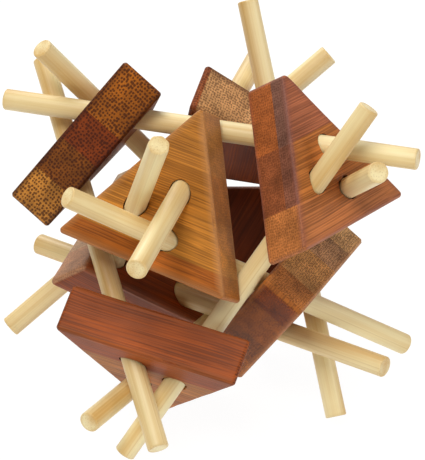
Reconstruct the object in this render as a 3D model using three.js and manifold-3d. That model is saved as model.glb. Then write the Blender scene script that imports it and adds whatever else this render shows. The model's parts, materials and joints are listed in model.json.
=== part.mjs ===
// Burr puzzle: eight triangular wooden blocks locked together by twelve round sticks.
// Each stick is a diagonal of one cube face, twisted a little about the face's middle.
// Millimetres, +Z up, front towards -Y, origin under the middle of the part.
import * as THREE from 'three';
import { mergeVertices } from 'three/addons/utils/BufferGeometryUtils.js';
import Module from 'manifold-3d';

const wasm = await Module();
wasm.setup();

// ---------------------------------------------------------------- driving sizes
const STICK_DIAMETER = 5;
const STICK_LENGTH = 100;
const BLOCK_SIDE = 45;
const BLOCK_THICKNESS = 11.4;
// Play between a stick and what it passes: hole walls and crossing sticks.
const PLAY = 0.3;

// ---------------------------------------------------------------- proportions
const STICK_END_BREAK = 0.07 * STICK_DIAMETER;
// Mean distance of the sticks from the middle of the puzzle: the outer sticks pass just
// under the inner blocks, so it grows with a stick's thickness and a block's size.
const STICK_DISTANCE = 2.55 * STICK_DIAMETER + 0.89 * BLOCK_THICKNESS + 0.022 * BLOCK_SIDE;
// Distance of each hole's axis from the middle line of its block.
const HOLE_OFFSET = 0.98 * STICK_DIAMETER;
// The three sticks of a block pass closest to each other this far outside it.
const WAIST_OUTSIDE_BLOCK = 1.05 * STICK_DIAMETER;
const BLOCK_EDGE_ROUND = 0.035 * BLOCK_THICKNESS;
const BLOCK_CORNER_ROUND = 0.055 * BLOCK_THICKNESS;
// Turn of a block's corner from the way its stick runs inwards, about the block's own axis.
const BLOCK_TURN = THREE.MathUtils.degToRad(-25);
const STICK_FACETS = 36;
const CORNER_SEGMENTS = 4;

const BLOCK_COLOUR = 0x8a4e26;
const STICK_COLOUR = 0xe7cf9c;

// ---------------------------------------------------------------- layout
// Corner of the cube that each block sits at; an outer family and an inner one.
const BLOCKS = {
  block_back_left_top: { corner: [-1, 1, 1], family: 'outer' },
  block_front_right_top: { corner: [1, -1, 1], family: 'outer' },
  block_front_left_bottom: { corner: [-1, -1, -1], family: 'outer' },
  block_back_right_bottom: { corner: [1, 1, -1], family: 'outer' },
  block_front_left_top: { corner: [-1, -1, 1], family: 'inner' },
  block_back_right_top: { corner: [1, 1, 1], family: 'inner' },
  block_front_right_bottom: { corner: [1, -1, -1], family: 'inner' },
  block_back_left_bottom: { corner: [-1, 1, -1], family: 'inner' },
};

// The two blocks each stick joins, and how far it is pushed towards the first of them.
const STICKS = {
  stick_top_outer: { from: 'block_back_left_top', to: 'block_front_right_top', push: -1.0 },
  stick_top_inner: { from: 'block_front_left_top', to: 'block_back_right_top', push: 5.5 },
  stick_left_outer: { from: 'block_back_left_top', to: 'block_front_left_bottom', push: -0.7 },
  stick_left_inner: { from: 'block_front_left_top', to: 'block_back_left_bottom', push: 1.8 },
  stick_front_outer: { from: 'block_front_right_top', to: 'block_front_left_bottom', push: 0.6 },
  stick_front_inner: { from: 'block_front_left_top', to: 'block_front_right_bottom', push: -0.8 },
  stick_back_outer: { from: 'block_back_left_top', to: 'block_back_right_bottom', push: 1.2 },
  stick_back_inner: { from: 'block_back_right_top', to: 'block_back_left_bottom', push: -2.6 },
  stick_right_outer: { from: 'block_front_right_top', to: 'block_back_right_bottom', push: 2.7 },
  stick_right_inner: { from: 'block_back_right_top', to: 'block_front_right_bottom', push: -0.1 },
  stick_bottom_outer: { from: 'block_front_left_bottom', to: 'block_back_right_bottom', push: 0.3 },
  stick_bottom_inner: { from: 'block_back_left_bottom', to: 'block_front_right_bottom', push: 0.2 },
};

// The puzzle stands on the lower ends of these four; the first two are opposite each other.
const FEET = ['stick_front_outer', 'stick_back_outer', 'stick_right_inner', 'stick_left_inner'];

const FAMILY_DISTANCE = {
  outer: STICK_DISTANCE + (STICK_DIAMETER + PLAY) / 2,
  inner: STICK_DISTANCE - (STICK_DIAMETER + PLAY) / 2,
};

// ---------------------------------------------------------------- geometry of the layout
function cornerAxis(blockName) {
  return new THREE.Vector3(...BLOCKS[blockName].corner).normalize();
}

/** Twist of a family's sticks that puts the holes HOLE_OFFSET from each block's middle line. */
function stickTwist(distance) {
  const offsetSquared = HOLE_OFFSET ** 2;
  return Math.asin(Math.sqrt(offsetSquared / (2 * (distance ** 2 - offsetSquared))));
}

/** Middle and direction of one stick's line; the direction runs from its second block to its first. */
function stickLine(name) {
  const { from, to } = STICKS[name];
  const a = cornerAxis(from);
  const b = cornerAxis(to);
  const distance = FAMILY_DISTANCE[BLOCKS[from].family];
  const twist = stickTwist(distance);
  const faceAxis = a.clone().add(b).normalize();
  const diagonal = a.clone().sub(b).normalize();
  const across = faceAxis.clone().cross(diagonal);
  const direction = diagonal.multiplyScalar(Math.cos(twist)).addScaledVector(across, Math.sin(twist));
  return { middle: faceAxis.multiplyScalar(distance), direction };
}

/** Distance from the middle of the puzzle to a block's outer face. */
function blockFaceDistance(blockName) {
  const distance = FAMILY_DISTANCE[BLOCKS[blockName].family];
  const cosSlope = Math.sqrt(2 / 3) * Math.cos(stickTwist(distance));
  const waist = distance / (Math.sqrt(3) * (1 - cosSlope ** 2));
  return waist - WAIST_OUTSIDE_BLOCK;
}

function sticksOf(blockName) {
  return Object.keys(STICKS).filter((name) => {
    const { from, to } = STICKS[name];
    return from === blockName || to === blockName;
  });
}

/** Frame of a block: X to one corner of its triangle, Z outwards, origin on its outer face. */
function blockFrame(blockName) {
  const axis = cornerAxis(blockName);
  const first = sticksOf(blockName)[0];
  const inwards = stickLine(first).direction.clone();
  if (STICKS[first].from === blockName) {
    inwards.negate();
  }
  const toCorner = inwards.projectOnPlane(axis).normalize().applyAxisAngle(axis, BLOCK_TURN);
  const side = axis.clone().cross(toCorner);
  const frame = new THREE.Matrix4().makeBasis(toCorner, side, axis);
  return frame.setPosition(axis.clone().multiplyScalar(blockFaceDistance(blockName)));
}

/** Frame of a stick: Y along it, origin at the given point of its line. */
function lineFrame(direction, origin) {
  const turn = new THREE.Quaternion().setFromUnitVectors(new THREE.Vector3(0, 1, 0), direction);
  return new THREE.Matrix4().makeRotationFromQuaternion(turn).setPosition(origin);
}

// ---------------------------------------------------------------- solids
function toManifold(geometry) {
  const bare = new THREE.BufferGeometry();
  bare.setAttribute('position', geometry.getAttribute('position'));
  bare.setIndex(geometry.getIndex());
  const merged = mergeVertices(bare, 1e-5);
  return new wasm.Manifold(new wasm.Mesh({
    numProp: 3,
    vertProperties: Float32Array.from(merged.getAttribute('position').array),
    triVerts: Uint32Array.from(merged.getIndex().array),
  }));
}

function toGeometry(solid) {
  const mesh = solid.getMesh();
  const geometry = new THREE.BufferGeometry();
  geometry.setAttribute('position', new THREE.BufferAttribute(Float32Array.from(mesh.vertProperties), 3));
  geometry.setIndex(new THREE.BufferAttribute(Uint32Array.from(mesh.triVerts), 1));
  return geometry;
}

/** A round rod about Y, its end edges broken by endBreak. */
function rodGeometry(radius, length, endBreak) {
  const half = length / 2;
  const profile = [
    new THREE.Vector2(0, -half),
    new THREE.Vector2(radius - endBreak, -half),
    new THREE.Vector2(radius, -half + endBreak),
    new THREE.Vector2(radius, half - endBreak),
    new THREE.Vector2(radius - endBreak, half),
    new THREE.Vector2(0, half),
  ];
  return new THREE.LatheGeometry(profile, STICK_FACETS);
}

/** A triangle with rounded corners, one corner along X, inset by the edge rounding. */
function triangleShape() {
  const toRoundCentre = BLOCK_SIDE / Math.sqrt(3) - 2 * BLOCK_CORNER_ROUND;
  const radius = BLOCK_CORNER_ROUND - BLOCK_EDGE_ROUND;
  const shape = new THREE.Shape();
  for (let corner = 0; corner < 3; corner += 1) {
    const angle = (corner * 2 * Math.PI) / 3;
    const x = toRoundCentre * Math.cos(angle);
    const y = toRoundCentre * Math.sin(angle);
    shape.absarc(x, y, radius, angle - Math.PI / 3, angle + Math.PI / 3, false);
  }
  shape.closePath();
  return shape;
}

/** The bare triangular block, its outer face on z = 0 of its own frame. */
function blankBlock() {
  const geometry = new THREE.ExtrudeGeometry(triangleShape(), {
    depth: BLOCK_THICKNESS - 2 * BLOCK_EDGE_ROUND,
    bevelEnabled: true,
    bevelThickness: BLOCK_EDGE_ROUND,
    bevelSize: BLOCK_EDGE_ROUND,
    bevelSegments: 2,
    curveSegments: CORNER_SEGMENTS,
  });
  return geometry.translate(0, 0, BLOCK_EDGE_ROUND - BLOCK_THICKNESS);
}

/** One block, drilled along the lines of its three sticks. */
function blockGeometry(blockName) {
  let solid = toManifold(blankBlock().applyMatrix4(blockFrame(blockName)));
  for (const stickName of sticksOf(blockName)) {
    const { middle, direction } = stickLine(stickName);
    const drill = rodGeometry(STICK_DIAMETER / 2 + PLAY, 6 * BLOCK_SIDE, 0);
    solid = solid.subtract(toManifold(drill.applyMatrix4(lineFrame(direction, middle))));
  }
  return toGeometry(solid);
}

function stickGeometry(name, push) {
  const { middle, direction } = stickLine(name);
  const centre = middle.clone().addScaledVector(direction, push);
  const rod = rodGeometry(STICK_DIAMETER / 2, STICK_LENGTH, STICK_END_BREAK);
  return toGeometry(toManifold(rod.applyMatrix4(lineFrame(direction, centre))));
}

// ---------------------------------------------------------------- standing level
/** The point of a standing stick's lower rim that lies furthest against up. */
function footPoint(name, push, up) {
  const { middle, direction } = stickLine(name);
  const end = middle.clone().addScaledVector(direction, push - STICK_LENGTH / 2);
  const down = up.clone().negate().projectOnPlane(direction).normalize();
  return end.addScaledVector(down, STICK_DIAMETER / 2 - STICK_END_BREAK);
}

/** Pushes the four standing sticks until their feet share a plane; gives that plane's normal. */
function levelFeet(pushes) {
  const up = new THREE.Vector3(0, 0, 1);
  for (let pass = 0; pass < 8; pass += 1) {
    const [a, b, c, d] = FEET.map((name) => footPoint(name, pushes[name], up));
    const step = a.clone().sub(c).dot(up) / 2;
    FEET.forEach((name, index) => {
      const rise = stickLine(name).direction.dot(up);
      pushes[name] += (index < 2 ? -step : step) / rise;
    });
    up.copy(b.sub(a).cross(d.sub(c)).normalize());
    if (up.z < 0) {
      up.negate();
    }
  }
  return up;
}

// ---------------------------------------------------------------- assembly
function finish(colour, roughness) {
  return new THREE.MeshStandardMaterial({ color: colour, roughness, metalness: 0 });
}

function addPiece(group, name, geometry, material) {
  const mesh = new THREE.Mesh(geometry, material);
  mesh.name = name;
  group.add(mesh);
}

function buildPuzzle() {
  const puzzle = new THREE.Group();
  puzzle.name = 'burr_puzzle';
  const pushes = Object.fromEntries(Object.entries(STICKS).map(([name, stick]) => [name, stick.push]));
  const up = levelFeet(pushes);
  for (const name of Object.keys(BLOCKS)) {
    addPiece(puzzle, name, blockGeometry(name), finish(BLOCK_COLOUR, 0.5));
  }
  for (const name of Object.keys(STICKS)) {
    addPiece(puzzle, name, stickGeometry(name, pushes[name]), finish(STICK_COLOUR, 0.55));
  }
  const level = new THREE.Quaternion().setFromUnitVectors(up, new THREE.Vector3(0, 0, 1));
  for (const mesh of puzzle.children) {
    mesh.geometry.applyQuaternion(level);
  }
  const box = new THREE.Box3().setFromObject(puzzle, true);
  const centre = box.getCenter(new THREE.Vector3());
  for (const mesh of puzzle.children) {
    mesh.geometry.translate(-centre.x, -centre.y, -box.min.z);
    mesh.geometry.computeVertexNormals();
  }
  return puzzle;
}

export default buildPuzzle();
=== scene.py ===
"""Looks for a burr puzzle: eight dark bamboo blocks locked together by twelve pale bamboo sticks.

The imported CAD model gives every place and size. Each block and stick is built again here with
worked arrises, drilled rims and solid bamboo grain, and stands for its CAD node.
Metres, +Z up, front towards -Y.
"""
import json
import logging
import math
from dataclasses import dataclass
from enum import Enum

import bmesh
import bpy
from mathutils import Matrix, Vector, noise

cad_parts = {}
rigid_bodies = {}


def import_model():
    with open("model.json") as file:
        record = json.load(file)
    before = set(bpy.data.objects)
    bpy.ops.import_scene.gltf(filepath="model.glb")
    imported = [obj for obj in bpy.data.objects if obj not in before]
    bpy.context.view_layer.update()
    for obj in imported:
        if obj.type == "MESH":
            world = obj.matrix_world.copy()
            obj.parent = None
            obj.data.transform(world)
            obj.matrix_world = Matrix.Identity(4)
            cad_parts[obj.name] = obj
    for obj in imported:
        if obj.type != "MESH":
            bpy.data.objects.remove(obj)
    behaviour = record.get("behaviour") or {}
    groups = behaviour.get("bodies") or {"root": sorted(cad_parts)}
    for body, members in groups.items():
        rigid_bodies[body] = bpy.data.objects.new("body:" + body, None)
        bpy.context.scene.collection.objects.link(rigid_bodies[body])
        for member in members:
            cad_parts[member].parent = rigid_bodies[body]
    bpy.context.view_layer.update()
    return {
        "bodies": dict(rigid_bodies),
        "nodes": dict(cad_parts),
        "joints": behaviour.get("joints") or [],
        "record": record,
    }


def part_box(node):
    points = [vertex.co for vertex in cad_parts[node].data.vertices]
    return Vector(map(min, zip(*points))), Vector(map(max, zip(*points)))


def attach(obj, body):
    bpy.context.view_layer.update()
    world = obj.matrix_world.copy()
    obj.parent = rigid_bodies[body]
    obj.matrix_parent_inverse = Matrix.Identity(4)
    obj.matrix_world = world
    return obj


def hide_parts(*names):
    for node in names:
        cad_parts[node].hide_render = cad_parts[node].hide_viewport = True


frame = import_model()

MM = 0.001
BLOCKS_BODY = "blocks"
GRAIN = "grain_mm"
END_GRAIN = "end_grain"
WORN = "worn"
PARED_STICK = "stick_left_inner"
PARED_FLATS = 7

log = logging.getLogger("burr_puzzle")


class Facing(Enum):
    """A direction in the part's frame, used to name one side of a block."""

    UP = (0.0, 0.0, 1.0)
    DOWN = (0.0, 0.0, -1.0)
    FRONT = (0.0, -1.0, 0.0)
    BACK = (0.0, 1.0, 0.0)
    LEFT = (-1.0, 0.0, 0.0)
    RIGHT = (1.0, 0.0, 0.0)


# ---------------------------------------------------------------- small tools
def linear(hex_colour: str) -> tuple[float, float, float, float]:
    """Turns an sRGB hex colour into linear RGBA.

    Args:
        hex_colour: six hex digits after a hash, such as "#c98f52".

    Returns:
        The linear colour with alpha 1.
    """
    channels = [int(hex_colour[i:i + 2], 16) / 255 for i in (1, 3, 5)]
    low, knee = 12.92, 0.04045
    lit = [c / low if c <= knee else ((c + 0.055) / 1.055) ** 2.4 for c in channels]
    return (lit[0], lit[1], lit[2], 1.0)


def add_node(tree: bpy.types.NodeTree, kind: str, settings: dict | None = None,
             inputs: dict | None = None) -> bpy.types.Node:
    """Adds a node with its settings and links.

    Args:
        tree: the material's node tree.
        kind: the node's Blender type name.
        settings: properties to set on the node.
        inputs: input name or number to a plain value or to another node's output socket.

    Returns:
        The new node.
    """
    node = tree.nodes.new(kind)
    for name, value in (settings or {}).items():
        setattr(node, name, value)
    for key, value in (inputs or {}).items():
        if isinstance(value, bpy.types.NodeSocket):
            tree.links.new(value, node.inputs[key])
        else:
            node.inputs[key].default_value = value
    return node


def set_stops(ramp_node: bpy.types.Node, stops: list[tuple[float, tuple]]) -> None:
    """Fills a colour ramp.

    Args:
        ramp_node: the ramp, which starts with two stops.
        stops: position and linear colour of each stop, in rising order.
    """
    elements = ramp_node.color_ramp.elements
    while len(elements) < len(stops):
        elements.new(1.0)
    for element, (position, colour) in zip(elements, stops):
        element.position = position
        element.color = colour


def new_material(name: str) -> tuple[bpy.types.Material, bpy.types.NodeTree]:
    """Makes an empty node material.

    Args:
        name: the material's name.

    Returns:
        The material and its cleared node tree.
    """
    material = bpy.data.materials.new(name)
    material.use_nodes = True
    material.node_tree.nodes.clear()
    return material, material.node_tree


def new_piece(name: str, mesh: bpy.types.Mesh) -> bpy.types.Object:
    """Puts a mesh into the scene as a piece.

    Args:
        name: the piece's name.
        mesh: its mesh.

    Returns:
        The new object.
    """
    piece = bpy.data.objects.new(name, mesh)
    bpy.context.scene.collection.objects.link(piece)
    return piece


def store_float(mesh: bpy.types.Mesh, name: str, domain: str, values: list[float]) -> None:
    """Stores one number per vertex or face for the finishes to read.

    Args:
        mesh: the mesh.
        name: the attribute's name.
        domain: POINT or FACE.
        values: the numbers, in the mesh's order.
    """
    layer = mesh.attributes.new(name, "FLOAT", domain)
    layer.data.foreach_set("value", values)


def store_vector(mesh: bpy.types.Mesh, name: str, values: list[Vector]) -> None:
    """Stores one vector per vertex for the finishes to read.

    Args:
        mesh: the mesh.
        name: the attribute's name.
        values: the vectors, in the mesh's order.
    """
    layer = mesh.attributes.new(name, "FLOAT_VECTOR", "POINT")
    layer.data.foreach_set("vector", [c for value in values for c in value])


# ---------------------------------------------------------------- finishes
@dataclass(frozen=True)
class Strip:
    """One bamboo strip of a board: its width across the grain and its colours.

    The cut ends differ in tone from the faces, and the two plies of a board can differ there too.
    A grey cut-end colour is painted sheen: a glossy reflection of the lights painted in.
    """

    width_mm: float
    face_hex: str
    end_hex: str
    inner_end_hex: str = ""


@dataclass(frozen=True)
class Board:
    """The glued board that one block was cut from, and how the block has worn.

    Strips are counted from the side that lies along the grain. The seed says how far along its
    own length the board was cut, so that no two blocks match. The dot's size is its radius. The
    plies meet at a height over the block's middle plane; on one block the outer ply's cut ends
    carry a painted sheen. The two painted shades darken the cut end on either side of the middle:
    shade painted onto the end that is turned away from the lights, not a tone of the bamboo.
    """

    strips: tuple[Strip, ...]
    seed: float
    dot_depth: float = 0.85
    streak_depth: float = 0.38
    dot_mm: float = 0.225
    arris_hex: str = "#5a2a18"
    arris_wear: float = 0.6
    sheen_ply_joint_mm: float = 0.0
    near_painted_shade_hex: str = "#ffffff"
    far_painted_shade_hex: str = "#ffffff"


@dataclass(frozen=True)
class CaramelisedBamboo:
    """Carbonised bamboo board, glued from strips, sawn, sanded and lightly oiled.

    Steaming turns the sugars brown right through. Where the grain is cut across, the vessel
    bundles show as dark dots; along the grain they show as fine streaks. The oil gives a low,
    soft sheen, and handled arrises are burnished to another shade.
    """

    bundle_hex: str = "#3a1405"
    spacing_in_dots: float = 2.8
    bundle_length_mm: float = 16.0
    # Bamboo fibres are under 0.1 mm thick; 0.3 mm is as fine as the render can show.
    fibre_mm: float = 0.3
    fibre_length_mm: float = 20.0
    band_mm: float = 1.5
    band_length_mm: float = 60.0
    cloud_mm: float = 7.0
    wander_mm: float = 0.45
    wander_width_mm: float = 14.0
    wander_length_mm: float = 32.0
    pore_relief: float = 0.7
    relief_mm: float = 0.1
    roughness: float = 0.46
    ior: float = 1.5
    sheen: float = 0.2

    def build(self, name: str, board: Board, start_mm: float) -> bpy.types.Material:
        """Builds the finish of one block.

        Args:
            name: the material's name.
            board: the board that the block was cut from.
            start_mm: grain coordinate of the outer edge of the first strip.

        Returns:
            The material.
        """
        material, tree = new_material(name)
        grain = add_node(tree, "ShaderNodeAttribute", {"attribute_name": GRAIN}).outputs["Vector"]
        end = add_node(tree, "ShaderNodeAttribute", {"attribute_name": END_GRAIN}).outputs["Fac"]
        worn = add_node(tree, "ShaderNodeAttribute", {"attribute_name": WORN}).outputs["Fac"]
        moved = add_node(tree, "ShaderNodeVectorMath", {"operation": "ADD"},
                         {0: grain, 1: (board.seed * 31.0, board.seed * 17.0, board.seed * 23.0)})
        bent = self._wander(tree, moved.outputs[0])
        thin = self.fibre_mm
        fibres = self._noise(tree, bent, (self.fibre_length_mm, thin, thin), 2.0)
        bands = self._noise(tree, bent, (self.band_length_mm, self.band_mm, 2 * self.band_mm), 2.0)
        clouds = self._noise(tree, bent, (2 * self.cloud_mm, self.cloud_mm, self.cloud_mm), 2.0)
        colour = self._strips(tree, grain, end, board, start_mm)
        for pattern, along, across in ((fibres, 0.5, 0.55), (bands, 0.4, 0.25), (clouds, 0.5, 0.8)):
            colour = self._shade(tree, colour, pattern, end, along, across)
        bundles = self._bundles(tree, bent, board.dot_mm)
        depth = add_node(tree, "ShaderNodeMapRange", {},
                         {"Value": end, "To Min": board.streak_depth, "To Max": board.dot_depth})
        amount = add_node(tree, "ShaderNodeMath", {"operation": "MULTIPLY"},
                          {0: bundles, 1: depth.outputs[0]}).outputs[0]
        dotted = add_node(tree, "ShaderNodeMix", {"data_type": "RGBA"},
                          {"Factor": amount, 6: colour, 7: linear(self.bundle_hex)}).outputs[2]
        rubbed = add_node(tree, "ShaderNodeMath", {"operation": "MULTIPLY"},
                          {0: worn, 1: board.arris_wear})
        finished = add_node(tree, "ShaderNodeMix", {"data_type": "RGBA"},
                            {"Factor": rubbed.outputs[0], 6: dotted,
                             7: linear(board.arris_hex)}).outputs[2]
        gloss = add_node(tree, "ShaderNodeMapRange", {},
                         {"Value": fibres, "To Min": self.roughness - 0.08,
                          "To Max": self.roughness + 0.14})
        relief = add_node(tree, "ShaderNodeMath", {"operation": "MULTIPLY_ADD"},
                          {0: amount, 1: -self.pore_relief, 2: fibres})
        bump = add_node(tree, "ShaderNodeBump", {},
                        {"Strength": 0.45, "Distance": self.relief_mm * MM,
                         "Height": relief.outputs[0]})
        shader = add_node(tree, "ShaderNodeBsdfPrincipled", {},
                          {"Base Color": finished, "Roughness": gloss.outputs[0],
                           "IOR": self.ior, "Specular IOR Level": self.sheen,
                           "Normal": bump.outputs[0]})
        add_node(tree, "ShaderNodeOutputMaterial", {}, {"Surface": shader.outputs[0]})
        return material

    def _wander(self, tree: bpy.types.NodeTree, grain: bpy.types.NodeSocket) -> bpy.types.NodeSocket:
        """Bends the straight grain a little, as bamboo grows.

        Args:
            tree: the material's node tree.
            grain: grain coordinates in millimetres.

        Returns:
            The bent coordinates.
        """
        slow = add_node(tree, "ShaderNodeVectorMath", {"operation": "DIVIDE"},
                        {0: grain, 1: (self.wander_length_mm, self.wander_width_mm,
                                       self.wander_width_mm)}).outputs[0]
        drift = add_node(tree, "ShaderNodeTexNoise", {}, {"Vector": slow, "Scale": 1.0, "Detail": 1.0})
        centred = add_node(tree, "ShaderNodeVectorMath", {"operation": "SUBTRACT"},
                           {0: drift.outputs["Color"], 1: (0.5, 0.5, 0.5)}).outputs[0]
        wide = 4 * self.wander_mm
        scaled = add_node(tree, "ShaderNodeVectorMath", {"operation": "MULTIPLY"},
                          {0: centred, 1: (0.0, wide, wide)}).outputs[0]
        return add_node(tree, "ShaderNodeVectorMath", {"operation": "ADD"},
                        {0: grain, 1: scaled}).outputs[0]

    def _noise(self, tree: bpy.types.NodeTree, grain: bpy.types.NodeSocket,
               size_mm: tuple[float, float, float], detail: float) -> bpy.types.NodeSocket:
        """Gives noise of a real size, drawn out along the grain.

        Args:
            tree: the material's node tree.
            grain: grain coordinates in millimetres.
            size_mm: size of the noise along the grain, across it and through the board.
            detail: how many finer layers it has.

        Returns:
            The noise, mostly from 0.3 to 0.7.
        """
        scaled = add_node(tree, "ShaderNodeVectorMath", {"operation": "DIVIDE"},
                          {0: grain, 1: size_mm}).outputs[0]
        return add_node(tree, "ShaderNodeTexNoise", {},
                        {"Vector": scaled, "Scale": 1.0, "Detail": detail}).outputs[0]

    def _bundles(self, tree: bpy.types.NodeTree, grain: bpy.types.NodeSocket,
                 dot_mm: float) -> bpy.types.NodeSocket:
        """Gives the vessel bundles: small dots across the grain, long streaks along it.

        Args:
            tree: the material's node tree.
            grain: grain coordinates in millimetres.
            dot_mm: a bundle's radius.

        Returns:
            1 in a bundle, 0 between them.
        """
        axes = add_node(tree, "ShaderNodeSeparateXYZ", {}, {0: grain})
        across = add_node(tree, "ShaderNodeCombineXYZ", {},
                          {0: axes.outputs[1], 1: axes.outputs[2]}).outputs[0]
        spacing = self.spacing_in_dots * dot_mm
        cells = add_node(tree, "ShaderNodeTexVoronoi", {"voronoi_dimensions": "2D"},
                         {"Vector": across, "Scale": 1 / spacing, "Randomness": 0.5})
        uneven = self._noise(tree, grain, (self.bundle_length_mm, 2.0, 2.0), 1.0)
        grown = add_node(tree, "ShaderNodeMath", {"operation": "MULTIPLY_ADD"},
                         {0: uneven, 1: -0.5, 2: cells.outputs["Distance"]}).outputs[0]
        edge = dot_mm / spacing - 0.25
        return add_node(tree, "ShaderNodeMapRange", {"interpolation_type": "SMOOTHSTEP"},
                        {"Value": grown, "From Min": edge + 0.1, "From Max": edge - 0.1}).outputs[0]

    def _strips(self, tree: bpy.types.NodeTree, grain: bpy.types.NodeSocket,
                end: bpy.types.NodeSocket, board: Board, start_mm: float) -> bpy.types.NodeSocket:
        """Lays the strips' colours side by side, for faces, cut ends and cut ends of the inner ply.

        Args:
            tree: the material's node tree.
            grain: grain coordinates in millimetres.
            end: how far the face is cut across the grain.
            board: the board.
            start_mm: grain coordinate of the first strip's outer edge.

        Returns:
            The colour.
        """
        total = sum(strip.width_mm for strip in board.strips)
        axes = add_node(tree, "ShaderNodeSeparateXYZ", {}, {0: grain})
        place = add_node(tree, "ShaderNodeMapRange", {},
                         {"Value": axes.outputs[1], "From Min": start_mm,
                          "From Max": start_mm + total}).outputs[0]
        layers = ([strip.face_hex for strip in board.strips],
                  [strip.end_hex for strip in board.strips],
                  [strip.inner_end_hex or strip.end_hex for strip in board.strips])
        laid = []
        for colours in layers:
            stops, edge = [], 0.0
            for strip, colour in zip(board.strips, colours):
                stops.append((edge / total, linear(colour)))
                edge += strip.width_mm
            layer = add_node(tree, "ShaderNodeValToRGB", {}, {"Fac": place})
            layer.color_ramp.interpolation = "CONSTANT"
            set_stops(layer, stops)
            laid.append(layer.outputs[0])
        # Above the ply joint the cut ends take the outer ply's colours; on one block these carry a
        # painted sheen, the lights' reflection painted into the colour.
        inner = add_node(tree, "ShaderNodeMath", {"operation": "LESS_THAN"},
                         {0: axes.outputs[2], 1: board.sheen_ply_joint_mm}).outputs[0]
        ends = add_node(tree, "ShaderNodeMix", {"data_type": "RGBA"},
                        {"Factor": inner, 6: laid[1], 7: laid[2]}).outputs[2]
        beyond = add_node(tree, "ShaderNodeMapRange", {},
                          {"Value": axes.outputs[0], "From Min": -1.0, "From Max": 1.0}).outputs[0]
        # White is no painted shade; the ends are multiplied by it, so they can only get darker.
        # This paints shade onto the cut end that is turned away from the lights.
        painted_shade = add_node(tree, "ShaderNodeMix", {"data_type": "RGBA"},
                        {"Factor": beyond, 6: linear(board.near_painted_shade_hex),
                         7: linear(board.far_painted_shade_hex)}).outputs[2]
        ends = add_node(tree, "ShaderNodeVectorMath", {"operation": "MULTIPLY"},
                        {0: ends, 1: painted_shade}).outputs[0]
        cut = add_node(tree, "ShaderNodeMapRange", {},
                       {"Value": end, "From Min": 0.25, "From Max": 0.7}).outputs[0]
        return add_node(tree, "ShaderNodeMix", {"data_type": "RGBA"},
                        {"Factor": cut, 6: laid[0], 7: ends}).outputs[2]

    def _shade(self, tree: bpy.types.NodeTree, colour: bpy.types.NodeSocket,
               pattern: bpy.types.NodeSocket, end: bpy.types.NodeSocket, along: float,
               across: float) -> bpy.types.NodeSocket:
        """Lightens and darkens a colour by a pattern.

        Args:
            tree: the material's node tree.
            colour: the colour.
            pattern: a noise about 0.5.
            end: how far the face is cut across the grain.
            along: the pattern's swing on faces along the grain.
            across: its swing on end grain.

        Returns:
            The shaded colour.
        """
        swing = add_node(tree, "ShaderNodeMapRange", {},
                         {"Value": end, "To Min": along, "To Max": across})
        centred = add_node(tree, "ShaderNodeMath", {"operation": "SUBTRACT"}, {0: pattern, 1: 0.5})
        gain = add_node(tree, "ShaderNodeMath", {"operation": "MULTIPLY_ADD"},
                        {0: centred.outputs[0], 1: swing.outputs[0], 2: 0.5})
        doubled = add_node(tree, "ShaderNodeMath", {"operation": "MULTIPLY"},
                           {0: gain.outputs[0], 1: 2.0})
        return add_node(tree, "ShaderNodeVectorMath", {"operation": "SCALE"},
                        {0: colour, "Scale": doubled.outputs[0]}).outputs[0]


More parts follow.
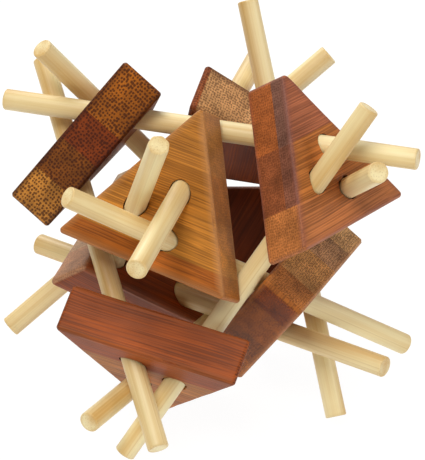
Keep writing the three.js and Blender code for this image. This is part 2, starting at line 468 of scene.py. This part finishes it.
@dataclass(frozen=True)
class PaleBamboo:
    """Natural bamboo rod, split, drawn round through a die and cut to length.

    It is cream with fine lengthwise fibres and a few tan vessel lines; the side that was nearer
    the culm's skin is a little more golden. The drawn surface is smooth but not polished.
    """

    cream_hex: str = "#f5e5b2"
    golden_hex: str = "#cf9f4c"
    line_hex: str = "#a88048"
    # The fibres are really finer; 0.45 mm is what shows on a stick in the render.
    fibre_mm: float = 0.45
    fibre_length_mm: float = 26.0
    golden_side_mm: float = 4.5
    golden_length_mm: float = 60.0
    bundle_spacing_mm: float = 0.8
    relief_mm: float = 0.1
    roughness: float = 0.4
    ior: float = 1.5

    def build(self, name: str) -> bpy.types.Material:
        """Builds the finish that all sticks share.

        Args:
            name: the material's name.

        Returns:
            The material.
        """
        material, tree = new_material(name)
        grain = add_node(tree, "ShaderNodeAttribute", {"attribute_name": GRAIN}).outputs["Vector"]
        end = add_node(tree, "ShaderNodeAttribute", {"attribute_name": END_GRAIN}).outputs["Fac"]
        worn = add_node(tree, "ShaderNodeAttribute", {"attribute_name": WORN}).outputs["Fac"]
        drawn = add_node(tree, "ShaderNodeVectorMath", {"operation": "DIVIDE"},
                         {0: grain, 1: (self.fibre_length_mm, self.fibre_mm, self.fibre_mm)}).outputs[0]
        fibres = add_node(tree, "ShaderNodeTexNoise", {},
                          {"Vector": drawn, "Scale": 1.0, "Detail": 3.0}).outputs[0]
        slow = add_node(tree, "ShaderNodeVectorMath", {"operation": "DIVIDE"},
                        {0: grain, 1: (self.golden_length_mm, self.golden_side_mm,
                                       self.golden_side_mm)}).outputs[0]
        sides = add_node(tree, "ShaderNodeTexNoise", {},
                         {"Vector": slow, "Scale": 1.0, "Detail": 1.0}).outputs[0]
        mixed = add_node(tree, "ShaderNodeMath", {"operation": "MULTIPLY_ADD"},
                         {0: fibres, 1: 0.3, 2: sides}).outputs[0]
        golden = add_node(tree, "ShaderNodeMapRange", {},
                          {"Value": mixed, "From Min": 0.5, "From Max": 1.0}).outputs[0]
        base = add_node(tree, "ShaderNodeMix", {"data_type": "RGBA"},
                        {"Factor": golden, 6: linear(self.cream_hex),
                         7: linear(self.golden_hex)}).outputs[2]
        axes = add_node(tree, "ShaderNodeSeparateXYZ", {}, {0: grain})
        across = add_node(tree, "ShaderNodeCombineXYZ", {},
                          {0: axes.outputs[1], 1: axes.outputs[2]}).outputs[0]
        cells = add_node(tree, "ShaderNodeTexVoronoi", {"voronoi_dimensions": "2D"},
                         {"Vector": across, "Scale": 1 / self.bundle_spacing_mm,
                          "Randomness": 0.85}).outputs["Distance"]
        lines = add_node(tree, "ShaderNodeMapRange", {"interpolation_type": "SMOOTHSTEP"},
                         {"Value": cells, "From Min": 0.24, "From Max": 0.08}).outputs[0]
        faint = add_node(tree, "ShaderNodeMapRange", {}, {"Value": end, "To Min": 0.18, "To Max": 0.25})
        amount = add_node(tree, "ShaderNodeMath", {"operation": "MULTIPLY"},
                          {0: lines, 1: faint.outputs[0]}).outputs[0]
        lined = add_node(tree, "ShaderNodeMix", {"data_type": "RGBA"},
                         {"Factor": amount, 6: base, 7: linear(self.line_hex)}).outputs[2]
        rubbed = add_node(tree, "ShaderNodeMath", {"operation": "MULTIPLY"}, {0: worn, 1: 0.3})
        finished = add_node(tree, "ShaderNodeMix", {"data_type": "RGBA"},
                            {"Factor": rubbed.outputs[0], 6: lined,
                             7: linear(self.golden_hex)}).outputs[2]
        gloss = add_node(tree, "ShaderNodeMapRange", {},
                         {"Value": fibres, "To Min": self.roughness - 0.08,
                          "To Max": self.roughness + 0.12})
        bump = add_node(tree, "ShaderNodeBump", {},
                        {"Strength": 0.35, "Distance": self.relief_mm * MM, "Height": fibres})
        shader = add_node(tree, "ShaderNodeBsdfPrincipled", {},
                          {"Base Color": finished, "Roughness": gloss.outputs[0],
                           "IOR": self.ior, "Normal": bump.outputs[0]})
        add_node(tree, "ShaderNodeOutputMaterial", {}, {"Surface": shader.outputs[0]})
        return material


@dataclass(frozen=True)
class FrostedAcrylic:
    """Opal acrylic light table, sanded matt.

    It glows evenly from below, so it looks white although its own surface is grey, and hardly a
    shadow shows on it.
    """

    surface_hex: str = "#5f5f5e"
    glow: float = 0.95

    def build(self) -> bpy.types.Material:
        """Builds the table's finish.

        Returns:
            The material.
        """
        material, tree = new_material("frosted_acrylic")
        speckle = add_node(tree, "ShaderNodeTexNoise", {}, {"Scale": 90.0, "Detail": 2.0})
        frosted = add_node(tree, "ShaderNodeMapRange", {},
                           {"Value": speckle.outputs[0], "To Min": 0.75, "To Max": 0.95})
        shader = add_node(tree, "ShaderNodeBsdfPrincipled", {},
                          {"Base Color": linear(self.surface_hex), "Roughness": frosted.outputs[0],
                           "Specular IOR Level": 0.0, "Emission Color": (1.0, 1.0, 1.0, 1.0),
                           "Emission Strength": self.glow})
        add_node(tree, "ShaderNodeOutputMaterial", {}, {"Surface": shader.outputs[0]})
        return material


# ---------------------------------------------------------------- what the CAD says
@dataclass(frozen=True)
class StickPlace:
    """One stick as the CAD has it."""

    centre: Vector
    direction: Vector
    length: float
    radius: float

    @classmethod
    def read(cls, node: str) -> "StickPlace":
        """Reads a stick's line and size from its joint and its solid.

        Args:
            node: the CAD node, which is its body's name too.

        Returns:
            The stick's place.
        """
        joint = next(joint for joint in frame["joints"] if joint["child"] == node)
        direction = Vector(joint["axis"]).normalized()
        corners = [vertex.co for vertex in frame["nodes"][node].data.vertices]
        along = [corner.dot(direction) for corner in corners]
        middle = sum((c - direction * a for c, a in zip(corners, along)), Vector()) / len(corners)
        radius = max((c - direction * a - middle).length for c, a in zip(corners, along))
        centre = middle + direction * (min(along) + max(along)) / 2
        return cls(centre, direction, max(along) - min(along), radius)


@dataclass(frozen=True)
class BlockPlace:
    """One triangular block as the CAD has it."""

    centre: Vector
    outward: Vector
    side_normals: tuple[Vector, ...]
    inradius: float
    thickness: float

    @classmethod
    def read(cls, node: str) -> "BlockPlace":
        """Reads a block's frame and size from its flat faces.

        Args:
            node: the CAD node.

        Returns:
            The block's place.
        """
        mesh = frame["nodes"][node].data
        corners = [vertex.co.copy() for vertex in mesh.vertices]
        rough = (sum(corners, Vector()) / len(corners) - puzzle_middle()).normalized()
        faces = sorted(mesh.polygons, key=lambda face: -face.area)
        outward = next(face.normal.copy() for face in faces if face.normal.dot(rough) > 0.95)
        normals: list[Vector] = []
        for face in faces:
            fresh = all(face.normal.dot(normal) < 0.9 for normal in normals)
            if abs(face.normal.dot(outward)) < 0.01 and fresh:
                normals.append(face.normal.copy())
            if len(normals) == 3:
                break
        high = max(corner.dot(outward) for corner in corners)
        low = min(corner.dot(outward) for corner in corners)
        walls = [max(corner.dot(normal) for corner in corners) for normal in normals]
        inradius = sum(walls) / 3
        # Three walls at 120 degrees and the plate's middle plane give the centre.
        centre = outward * (high + low) / 2
        for normal, wall in zip(normals, walls):
            centre += normal * (wall - inradius) * 2 / 3
        return cls(centre, outward, tuple(normals), inradius, high - low)


def stick_bodies() -> list[str]:
    """The names of the sticks' bodies, which are their nodes' names too."""
    return sorted(name for name in frame["bodies"] if name != BLOCKS_BODY)


def puzzle_middle() -> Vector:
    """The middle of the boxes of all blocks, which is where the stick lines centre."""
    boxes = [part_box(node) for node in frame["record"]["behaviour"]["bodies"][BLOCKS_BODY]]
    return sum(((low + high) / 2 for low, high in boxes), Vector()) / len(boxes)


# ---------------------------------------------------------------- pieces
@dataclass
class Stick:
    """A round bamboo stick with square-cut, lightly broken ends.

    One that was pared by hand to fit has flats, each at a share of the radius from the middle.
    """

    node: str
    seed: float
    facets: int = 44
    rings: int = 36
    end_break: float = 0.38 * MM
    end_steps: int = 7
    flats: int = 0
    flat_depth: float = 0.94
    bow: float = 0.07 * MM
    bow_length: float = 30 * MM
    unevenness: float = 0.03 * MM
    uneven_length: float = 14 * MM
    rubbed_length: float = 1.2 * MM

    def build(self) -> bpy.types.Object:
        """Builds the stick's mesh where the CAD has it.

        Returns:
            The stick.
        """
        place = StickPlace.read(self.node)
        turn = Vector((1, 0, 0)).rotation_difference(place.direction).to_matrix().to_4x4()
        to_part = Matrix.Translation(place.centre) @ turn
        body = bmesh.new()
        loops = [self._ring(body, x, r, place.radius) for x, r in self._profile(place)]
        for first, second in zip(loops, loops[1:]):
            for i in range(self.facets):
                j = (i + 1) % self.facets
                body.faces.new((first[i], first[j], second[j], second[i]))
        body.faces.new(list(reversed(loops[0])))
        body.faces.new(loops[-1])
        mesh = bpy.data.meshes.new(self.node.replace("stick", "bamboo_stick"))
        bmesh.ops.recalc_face_normals(body, faces=body.faces)
        body.to_mesh(mesh)
        body.free()
        self._store(mesh, place)
        mesh.transform(to_part)
        mesh.shade_smooth()
        mesh.set_sharp_from_angle(angle=math.radians(24))
        return new_piece(mesh.name, mesh)

    def _profile(self, place: StickPlace) -> list[tuple[float, float]]:
        """Gives the stick's outline as distances along it and radii.

        Args:
            place: the stick's size.

        Returns:
            Points from one end face to the other.
        """
        half = place.length / 2
        cap = []
        for step in range(self.end_steps + 1):
            angle = step / self.end_steps * math.pi / 2
            cap.append((half - self.end_break * (1 - math.sin(angle)),
                        place.radius - self.end_break * (1 - math.cos(angle))))
        inner = [(half, (place.radius - self.end_break) * share) for share in (0.8, 0.45)]
        right = cap + inner
        left = [(-x, r) for x, r in reversed(right)]
        straight = half - 2 * self.end_break
        middle = [(straight * (2 * i / self.rings - 1), place.radius) for i in range(self.rings + 1)]
        return left + middle + right

    def _ring(self, body: bmesh.types.BMesh, x: float, r: float, full: float) -> list:
        """Adds one ring of vertices about the stick's own X axis.

        Args:
            body: the mesh being built.
            x: distance along the stick.
            r: radius there.
            full: the stick's full radius.

        Returns:
            The ring's vertices.
        """
        ring = []
        sag = self.bow * math.sin(x / self.bow_length + self.seed)
        for i in range(self.facets):
            angle = 2 * math.pi * i / self.facets
            where = Vector((x / self.uneven_length, 1.4 * math.cos(angle), 1.4 * math.sin(angle)))
            where += Vector((self.seed * 7.3, 0, 0))
            radius = r - self.unevenness * (1 + noise.noise(where)) * r / full
            if self.flats:
                from_flat = angle % (2 * math.pi / self.flats) - math.pi / self.flats
                radius = min(radius, self.flat_depth * r / math.cos(from_flat))
            ring.append(body.verts.new((x, radius * math.cos(angle), radius * math.sin(angle) + sag)))
        return ring

    def _store(self, mesh: bpy.types.Mesh, place: StickPlace) -> None:
        """Stores grain coordinates, end grain and rubbed edges.

        Args:
            mesh: the stick's mesh, still along X.
            place: the stick's size.
        """
        shift = Vector((self.seed * 41.0, self.seed * 13.0, self.seed * 29.0))
        store_vector(mesh, GRAIN, [vertex.co / MM + shift for vertex in mesh.vertices])
        store_float(mesh, END_GRAIN, "FACE", [abs(face.normal.x) for face in mesh.polygons])
        half = place.length / 2
        worn = []
        for vertex in mesh.vertices:
            out = Vector((0, vertex.co.y, vertex.co.z)).length / place.radius
            near_end = 1 - min(1.0, (half - abs(vertex.co.x)) / self.rubbed_length)
            worn.append(near_end if out > 0.7 else 0.0)
        store_float(mesh, WORN, "POINT", worn)

    def dress(self, piece: bpy.types.Object, material: bpy.types.Material) -> None:
        """Gives the stick its finish and ties it to its body.

        Args:
            piece: the stick.
            material: its finish.
        """
        piece.data.materials.append(material)
        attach(piece, self.node)
        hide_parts(self.node)


@dataclass
class Block:
    """A thick triangular plate of glued bamboo with three slanted holes."""

    node: str
    grain_side: Facing
    board: Board
    corner_rounds: tuple[float, float, float] = (0.9 * MM, 0.9 * MM, 0.9 * MM)
    edge_round: float = 0.62 * MM
    edge_steps: int = 6
    corner_steps: int = 8
    side_steps: int = 18
    band: float = 1.5 * MM
    hole_play: float = 0.16 * MM
    hole_facets: int = 56
    rim: float = 0.2 * MM
    chip: float = 0.3 * MM
    chip_size: float = 1.3 * MM
    nick: float = 1.1 * MM
    sanding: float = 0.22 * MM
    sanding_size: float = 5 * MM
    worn_width: float = 0.85 * MM
    tolerance: float = 0.001 * MM

    def build(self) -> bpy.types.Object:
        """Builds the block, drilled along the lines of its sticks.

        Returns:
            The block.
        """
        place = BlockPlace.read(self.node)
        blank = new_piece(self.node.replace("block", "bamboo_block"), self._blank(place))
        drills = self._drills(place)
        cut = blank.modifiers.new("drill", "BOOLEAN")
        cut.operation = "DIFFERENCE"
        cut.solver = "EXACT"
        cut.object = drills
        bpy.context.view_layer.update()
        drilled = bpy.data.meshes.new_from_object(
            blank.evaluated_get(bpy.context.evaluated_depsgraph_get()))
        blank.modifiers.clear()
        blank.data = drilled
        drilled.name = blank.name
        bpy.data.objects.remove(drills)
        self._break_rims(drilled, place)
        self._store(drilled, place)
        drilled.transform(self._grain_frame(place))
        drilled.materials.clear()
        drilled.shade_smooth()
        drilled.set_sharp_from_angle(angle=math.radians(19))
        return blank

    def _grain_frame(self, place: BlockPlace) -> Matrix:
        """Gives the block's own frame: X along the grain, Z outwards, origin in its middle.

        Args:
            place: the block's place.

        Returns:
            The matrix from that frame to the part's frame.
        """
        towards = Vector(self.grain_side.value)
        side = max(place.side_normals, key=lambda normal: normal.dot(towards))
        across = -side
        along = across.cross(place.outward)
        return Matrix.LocRotScale(place.centre, Matrix((along, across, place.outward)).transposed(),
                                  None)

    def _corner(self, place: BlockPlace, corner: int, inset: float) -> tuple[Vector, float]:
        """Gives a corner's centre and its radius at an inset.

        Args:
            place: the block's size.
            corner: 0 for the corner opposite the grain side, then leftwards.
            inset: how far inside the full outline.

        Returns:
            The centre of the round and the radius.
        """
        full = self.corner_rounds[corner]
        angle = math.radians(90 + 120 * corner)
        centre = Vector((math.cos(angle), math.sin(angle))) * 2 * (place.inradius - full)
        return centre, full - inset

    def _outline(self, place: BlockPlace, inset: float) -> list[Vector]:
        """Gives the rounded triangle, one side along X below the origin.

        Args:
            place: the block's size.
            inset: how far inside the full outline it runs.

        Returns:
            Points of the outline, turning left.
        """
        points = []
        for corner in range(3):
            middle = math.radians(90 + 120 * corner)
            turn = math.radians(60)
            centre, radius = self._corner(place, corner, inset)
            for step in range(self.corner_steps + 1):
                angle = middle + turn * (2 * step / self.corner_steps - 1)
                points.append(centre + Vector((math.cos(angle), math.sin(angle))) * radius)
            start = points[-1]
            next_centre, radius = self._corner(place, (corner + 1) % 3, inset)
            stop = next_centre + Vector((math.cos(middle + turn), math.sin(middle + turn))) * radius
            edge = self.band / (stop - start).length
            shares = [edge] + [edge + (1 - 2 * edge) * i / self.side_steps
                               for i in range(1, self.side_steps)] + [1 - edge]
            points += [start.lerp(stop, share) for share in shares]
        return points

    def _blank(self, place: BlockPlace) -> bpy.types.Mesh:
        """Builds the bare plate with hand-sanded arrises.

        Args:
            place: the block's size.

        Returns:
            The mesh in the block's own frame.
        """
        half = place.thickness / 2
        body = bmesh.new()
        loops = []
        rows = self._rows(half)
        for inset, height, weight in rows:
            loop = []
            least = min(self.corner_rounds) * 0.98
            share = 1 - max(0.0, inset - least) / place.inradius
            for point in self._outline(place, min(inset, least)):
                spot = Vector((point.x * share, point.y * share, height))
                loop.append(body.verts.new(self._sand(spot, weight)))
            loops.append(loop)
        count = len(loops[0])
        for lower, upper in zip(loops, loops[1:]):
            for i in range(count):
                j = (i + 1) % count
                body.faces.new((lower[i], lower[j], upper[j], upper[i]))
        body.faces.new(list(reversed(loops[0])))
        body.faces.new(loops[-1])
        mesh = bpy.data.meshes.new("blank")
        body.to_mesh(mesh)
        body.free()
        return mesh

    def _rows(self, half: float) -> list[tuple[float, float, float]]:
        """Gives the plate's rows: inset, height, and how much sanding moves them.

        Args:
            half: half the plate's thickness.

        Returns:
            Rows from the inner face up to the outer face.
        """
        arris = []
        for step in range(self.edge_steps + 1):
            angle = step / self.edge_steps * math.pi / 2
            arris.append((self.edge_round * (1 - math.sin(angle)),
                          half - self.edge_round * (1 - math.cos(angle)),
                          math.sin(2 * angle)))
        upper = list(reversed(arris))
        wall = half - self.edge_round - self.band * 0.6
        rows = [(0.0, wall, 0.0)] + upper + [(self.edge_round + self.band, half, 0.0)]
        lower = [(inset, -height, weight) for inset, height, weight in reversed(rows)]
        return lower + rows

    def _sand(self, spot: Vector, weight: float) -> Vector:
        """Moves an arris point in a little, with a few deeper nicks.

        Args:
            spot: the point in the block's own frame.
            weight: how much it may move, 0 to 1.

        Returns:
            The moved point.
        """
        if weight < 0.01:
            return spot
        where = spot / self.sanding_size + Vector((self.board.seed * 9.1, 0, 0))
        soft = 0.5 + 0.5 * noise.noise(where)
        nick = max(0.0, noise.noise(where * 2.7) - 0.4)
        depth = (self.sanding * soft + self.nick * nick) * weight
        inwards = -Vector((spot.x, spot.y, spot.z * 2.2)).normalized()
        return spot + inwards * depth

    def _bore(self) -> float:
        """Radius of the holes: a stick's and the play."""
        return StickPlace.read(stick_bodies()[0]).radius + self.hole_play

    def _lines(self, place: BlockPlace) -> list[tuple[Vector, Vector]]:
        """Finds the sticks that go through the block.

        Args:
            place: the block's place.

        Returns:
            A point and a direction for each one, in the block's own frame.
        """
        to_block = self._grain_frame(place).inverted()
        lines = []
        for name in stick_bodies():
            stick = StickPlace.read(name)
            if self._goes_through(place, stick):
                along = (place.centre - stick.centre).dot(stick.direction)
                spot = to_block @ (stick.centre + stick.direction * along)
                lines.append((spot, to_block.to_3x3() @ stick.direction))
        return lines

    def _drills(self, place: BlockPlace) -> bpy.types.Object:
        """Makes the rods that cut the block's three holes.

        Args:
            place: the block's place.

        Returns:
            One object of three rods, in the block's own frame.
        """
        body = bmesh.new()
        for spot, direction in self._lines(place):
            turn = Vector((0, 0, 1)).rotation_difference(direction).to_matrix().to_4x4()
            bmesh.ops.create_cone(body, cap_ends=True, segments=self.hole_facets,
                                  radius1=self._bore(), radius2=self._bore(),
                                  depth=4 * place.thickness,
                                  matrix=Matrix.Translation(spot) @ turn)
        mesh = bpy.data.meshes.new("drills")
        body.to_mesh(mesh)
        body.free()
        return new_piece("drills", mesh)

    def _goes_through(self, place: BlockPlace, stick: StickPlace) -> bool:
        """Says if a stick's line crosses the block's middle plane inside the triangle.

        Args:
            place: the block's place.
            stick: the stick's place.

        Returns:
            True if it does.
        """
        slope = stick.direction.dot(place.outward)
        if abs(slope) < 0.3:
            return False
        reach = (place.centre - stick.centre).dot(place.outward) / slope
        hit = stick.centre + stick.direction * reach - place.centre
        inside = all(hit.dot(normal) < place.inradius for normal in place.side_normals)
        return inside and abs(reach) < stick.length / 2 + place.thickness

    def _break_rims(self, mesh: bpy.types.Mesh, place: BlockPlace) -> None:
        """Breaks the sharp rims that the drill leaves.

        Args:
            mesh: the drilled plate in its own frame.
            place: the block's size.
        """
        body = bmesh.new()
        body.from_mesh(mesh)
        body.normal_update()
        rims = []
        lines = self._lines(place)
        for vertex in body.verts:
            if self._on_rim(place, vertex.co):
                self._chip(vertex, lines)
        for edge in body.edges:
            if len(edge.link_faces) != 2 or not all(self._on_rim(place, v.co) for v in edge.verts):
                continue
            flat = [abs(face.normal.z) > 0.999 for face in edge.link_faces]
            if flat[0] != flat[1]:
                rims.append(edge)
        bmesh.ops.bevel(body, geom=rims, offset=self.rim, segments=2, profile=0.5, affect="EDGES",
                        clamp_overlap=True)
        body.to_mesh(mesh)
        body.free()

    def _on_rim(self, place: BlockPlace, spot: Vector) -> bool:
        """Says if a point of the drilled plate is on a hole's rim.

        Args:
            place: the block's size.
            spot: the point in the block's own frame.

        Returns:
            True if it lies in a broad face, inside the face's own border rows.
        """
        off_face = abs(abs(spot.z) - place.thickness / 2)
        return off_face < self.tolerance and min(self._gaps(place, spot)) > self.band * 1.05

    def _chip(self, vertex: bmesh.types.BMVert, lines: list[tuple[Vector, Vector]]) -> None:
        """Breaks a rim point outwards where the drill tore the fibres.

        Args:
            vertex: a point of a hole's rim.
            lines: the holes' lines.
        """
        spot = vertex.co.copy()
        feet = [point + way * (spot.z - point.z) / way.z for point, way in lines]
        foot = min(feet, key=lambda middle: (spot - middle).length)
        torn = noise.noise(spot / self.chip_size + Vector((self.board.seed * 5.7, 0, 0)))
        vertex.co = spot + (spot - foot).normalized() * self.chip * max(0.0, torn + 0.1)

    def _store(self, mesh: bpy.types.Mesh, place: BlockPlace) -> None:
        """Stores grain coordinates, end grain and rubbed arrises.

        Args:
            mesh: the block's mesh in its own frame.
            place: the block's size.
        """
        store_vector(mesh, GRAIN, [vertex.co / MM for vertex in mesh.vertices])
        store_float(mesh, END_GRAIN, "FACE", [abs(face.normal.x) for face in mesh.polygons])
        half = place.thickness / 2
        worn = []
        for vertex in mesh.vertices:
            gaps = sorted([half - abs(vertex.co.z)] + self._gaps(place, vertex.co))
            worn.append(min(1.0, max(0.0, 1.3 - (gaps[0] + gaps[1]) / self.worn_width)))
        store_float(mesh, WORN, "POINT", worn)

    def _gaps(self, place: BlockPlace, spot: Vector) -> list[float]:
        """Distances from a point to the three sides of the triangle."""
        angles = [math.radians(-90 + 120 * corner) for corner in range(3)]
        return [place.inradius - spot.x * math.cos(a) - spot.y * math.sin(a) for a in angles]

    def dress(self, piece: bpy.types.Object, finish: CaramelisedBamboo) -> None:
        """Gives the block its finish and ties it to the blocks' body.

        Args:
            piece: the block.
            finish: the bamboo it is cut from.
        """
        place = BlockPlace.read(self.node)
        name = self.node.replace("block", "caramelised_bamboo")
        material = finish.build(name, self.board, -place.inradius / MM)
        piece.data.materials.append(material)
        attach(piece, BLOCKS_BODY)
        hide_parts(self.node)


# ---------------------------------------------------------------- stage
@dataclass(frozen=True)
class Softbox:
    """A square softbox, placed from the puzzle's middle, which it faces."""

    name: str
    offset: Vector
    size: float
    watts: float
    colour_hex: str

    def hang(self, aim: Vector) -> None:
        """Hangs the softbox.

        Args:
            aim: the puzzle's middle.
        """
        data = bpy.data.lights.new(self.name, "AREA")
        data.size = self.size
        data.energy = self.watts
        data.color = linear(self.colour_hex)[:3]
        light = bpy.data.objects.new(self.name, data)
        light.location = aim + self.offset
        light.rotation_euler = self.offset.to_track_quat("Z", "Y").to_euler()
        bpy.context.scene.collection.objects.link(light)


@dataclass
class Studio:
    """A white table, soft lights and the camera."""

    azimuth_deg: float = -19.45
    elevation_deg: float = 31.86
    distance: float = 1.0518
    lens_mm: float = 352.2
    sensor_mm: float = 36.0
    aim_shift: Vector = Vector((1.08, -0.77, -0.6)) * MM
    floor_size: float = 8.0
    room_hex: str = "#f3f3f4"
    room_strength: float = 0.22
    softboxes: tuple[Softbox, ...] = (
        Softbox("key", Vector((-0.45, -0.45, 1.2)), 0.75, 12.5, "#fffaf0"),
        Softbox("fill", Vector((1.2, -0.8, 0.9)), 0.8, 6.5, "#fbfaff"),
        Softbox("back", Vector((-0.1, 1.3, 1.0)), 1.0, 15.0, "#ffffff"),
    )

    def build(self) -> None:
        """Places the camera, floor, lights and surroundings."""
        self._camera()
        self._floor()
        self._world()
        for softbox in self.softboxes:
            softbox.hang(puzzle_middle())

    def _camera(self) -> None:
        """Places the camera on its own line of sight."""
        azimuth = math.radians(self.azimuth_deg)
        elevation = math.radians(self.elevation_deg)
        towards = Vector((math.sin(azimuth) * math.cos(elevation),
                          -math.cos(azimuth) * math.cos(elevation), math.sin(elevation)))
        aim = puzzle_middle() + self.aim_shift
        data = bpy.data.cameras.new("camera")
        data.lens = self.lens_mm
        data.sensor_width = self.sensor_mm
        data.clip_end = 50.0
        camera = bpy.data.objects.new("camera", data)
        camera.location = aim + towards * self.distance
        camera.rotation_euler = towards.to_track_quat("Z", "Y").to_euler()
        bpy.context.scene.collection.objects.link(camera)
        bpy.context.scene.camera = camera

    def _floor(self) -> None:
        """Lays the table under the puzzle's feet."""
        half = self.floor_size / 2
        body = bmesh.new()
        corners = [body.verts.new((x * half, y * half, 0)) for x, y in
                   ((-1, -1), (1, -1), (1, 1), (-1, 1))]
        body.faces.new(corners)
        mesh = bpy.data.meshes.new("table")
        body.to_mesh(mesh)
        body.free()
        mesh.materials.append(FrostedAcrylic().build())
        new_piece("table", mesh)

    def _world(self) -> None:
        """Surrounds the table with a pale, even room."""
        world = bpy.data.worlds.new("room")
        world.use_nodes = True
        world.node_tree.nodes.clear()
        sky = add_node(world.node_tree, "ShaderNodeBackground", {},
                       {"Color": linear(self.room_hex), "Strength": self.room_strength})
        add_node(world.node_tree, "ShaderNodeOutputWorld", {}, {"Surface": sky.outputs[0]})
        bpy.context.scene.world = world


# ---------------------------------------------------------------- the puzzle
def puzzle_blocks() -> list[Block]:
    """Lists the eight blocks with the board each was cut from.

    Returns:
        The blocks.
    """
    return [
        Block("block_front_left_top", Facing.DOWN, Board(
            (Strip(5.0, "#ae5f1c", "#a86528"), Strip(10.5, "#c07c2c", "#b57534"),
             Strip(9.5, "#b77426", "#ae6c2e"), Strip(14.0, "#c07c2e", "#b67838")),
            1.3, dot_depth=0.25, dot_mm=0.19, arris_hex="#b88250", arris_wear=0.75)),
        # The grey cut-end colours of the outer ply are painted sheen, a glossy reflection of the lights
        # painted into the colour; the inner ply's ends keep the bamboo's own colour.
        Block("block_front_right_top", Facing.DOWN, Board(
            (Strip(10.0, "#bf7440", "#b9723c"), Strip(13.0, "#c07436", "#82503c", "#8c4e2d"),
             Strip(16.0, "#ae6644", "#7f5748", "#a85d2d")),
            2.1, dot_depth=0.4, dot_mm=0.2, arris_hex="#8c5246", arris_wear=0.6,
            sheen_ply_joint_mm=1.7),
            corner_rounds=(1.5 * MM, 0.9 * MM, 0.9 * MM), chip=0.6 * MM),
        Block("block_front_left_bottom", Facing.UP, Board(
            (Strip(9.0, "#984816", "#8c4418"), Strip(10.0, "#b27030", "#a46228"),
             Strip(9.0, "#ac6628", "#9c5a22"), Strip(11.0, "#ae6a2a", "#a06026")),
            3.7, arris_hex="#a0623a", arris_wear=0.4),
            chip=0.6 * MM, nick=2.4 * MM),
        Block("block_back_left_top", Facing.UP, Board(
            (Strip(13.5, "#96501a", "#a05a14"), Strip(7.8, "#7c3c12", "#78330a"),
             Strip(8.3, "#844614", "#7f4610"), Strip(9.4, "#a0642a", "#b87a30")),
            4.4, dot_mm=0.27, arris_hex="#300f0a", arris_wear=0.95)),
        Block("block_back_right_top", Facing.LEFT, Board(
            (Strip(1.4, "#8c4212", "#9a5228"), Strip(11.0, "#98491a", "#c69460"),
             Strip(9.0, "#904416", "#cc9c68"), Strip(17.6, "#98491a", "#a86a38")),
            5.9, dot_depth=0.62, dot_mm=0.22, arris_hex="#4e2016", arris_wear=0.9)),
        # The near painted shade darkens the cut end that faces down and away from the lights.
        Block("block_front_right_bottom", Facing.BACK, Board(
            (Strip(9.0, "#a8682c", "#e2ac6e"), Strip(9.0, "#945628", "#b88a5e"),
             Strip(12.0, "#a8662c", "#cc9454"), Strip(9.0, "#98561e", "#b47238")),
            6.2, dot_depth=0.6, dot_mm=0.21, arris_hex="#c07c42", arris_wear=0.6,
            near_painted_shade_hex="#c29359")),
        # The grey cut-end colours are painted sheen, the lights' reflection painted in; the near
        # painted shade darkens the end turned away from the lights back to brown.
        Block("block_back_left_bottom", Facing.FRONT, Board(
            (Strip(10.0, "#984610", "#af7f5c"), Strip(9.0, "#a4561a", "#bc9671"),
             Strip(9.0, "#9e5216", "#c2a381"), Strip(11.0, "#a4561a", "#c0a37f")),
            7.5, dot_depth=0.3, arris_hex="#a87a62", arris_wear=0.6, near_painted_shade_hex="#ecba7b")),
        # These strips are painted far darker than the other blocks': painted shade for the deep shade
        # this block sits in at the back of the puzzle.
        Block("block_back_right_bottom", Facing.RIGHT, Board(
            (Strip(10.0, "#5e260a", "#7c4218"), Strip(9.0, "#682c0c", "#8a4c1e"),
             Strip(9.0, "#582208", "#763c14"), Strip(11.0, "#622a0c", "#84481a")),
            8.8, arris_hex="#5a2a18", arris_wear=0.5)),
    ]


def main() -> None:
    """Builds the studio and every piece, and reports each one."""
    logging.basicConfig(level=logging.INFO, format="%(name)s: %(message)s")
    bpy.context.scene.view_settings.view_transform = "Standard"
    Studio().build()
    dark = CaramelisedBamboo()
    for block in puzzle_blocks():
        piece = block.build()
        block.dress(piece, dark)
        log.info("%s: %d faces", piece.name, len(piece.data.polygons))
    pale = PaleBamboo().build("pale_bamboo")
    for number, name in enumerate(stick_bodies()):
        flats = PARED_FLATS if name == PARED_STICK else 0
        stick = Stick(name, seed=0.37 + number * 1.61, flats=flats)
        piece = stick.build()
        stick.dress(piece, pale)
        log.info("%s: %d faces", piece.name, len(piece.data.polygons))


if __name__ == "__main__":
    main()
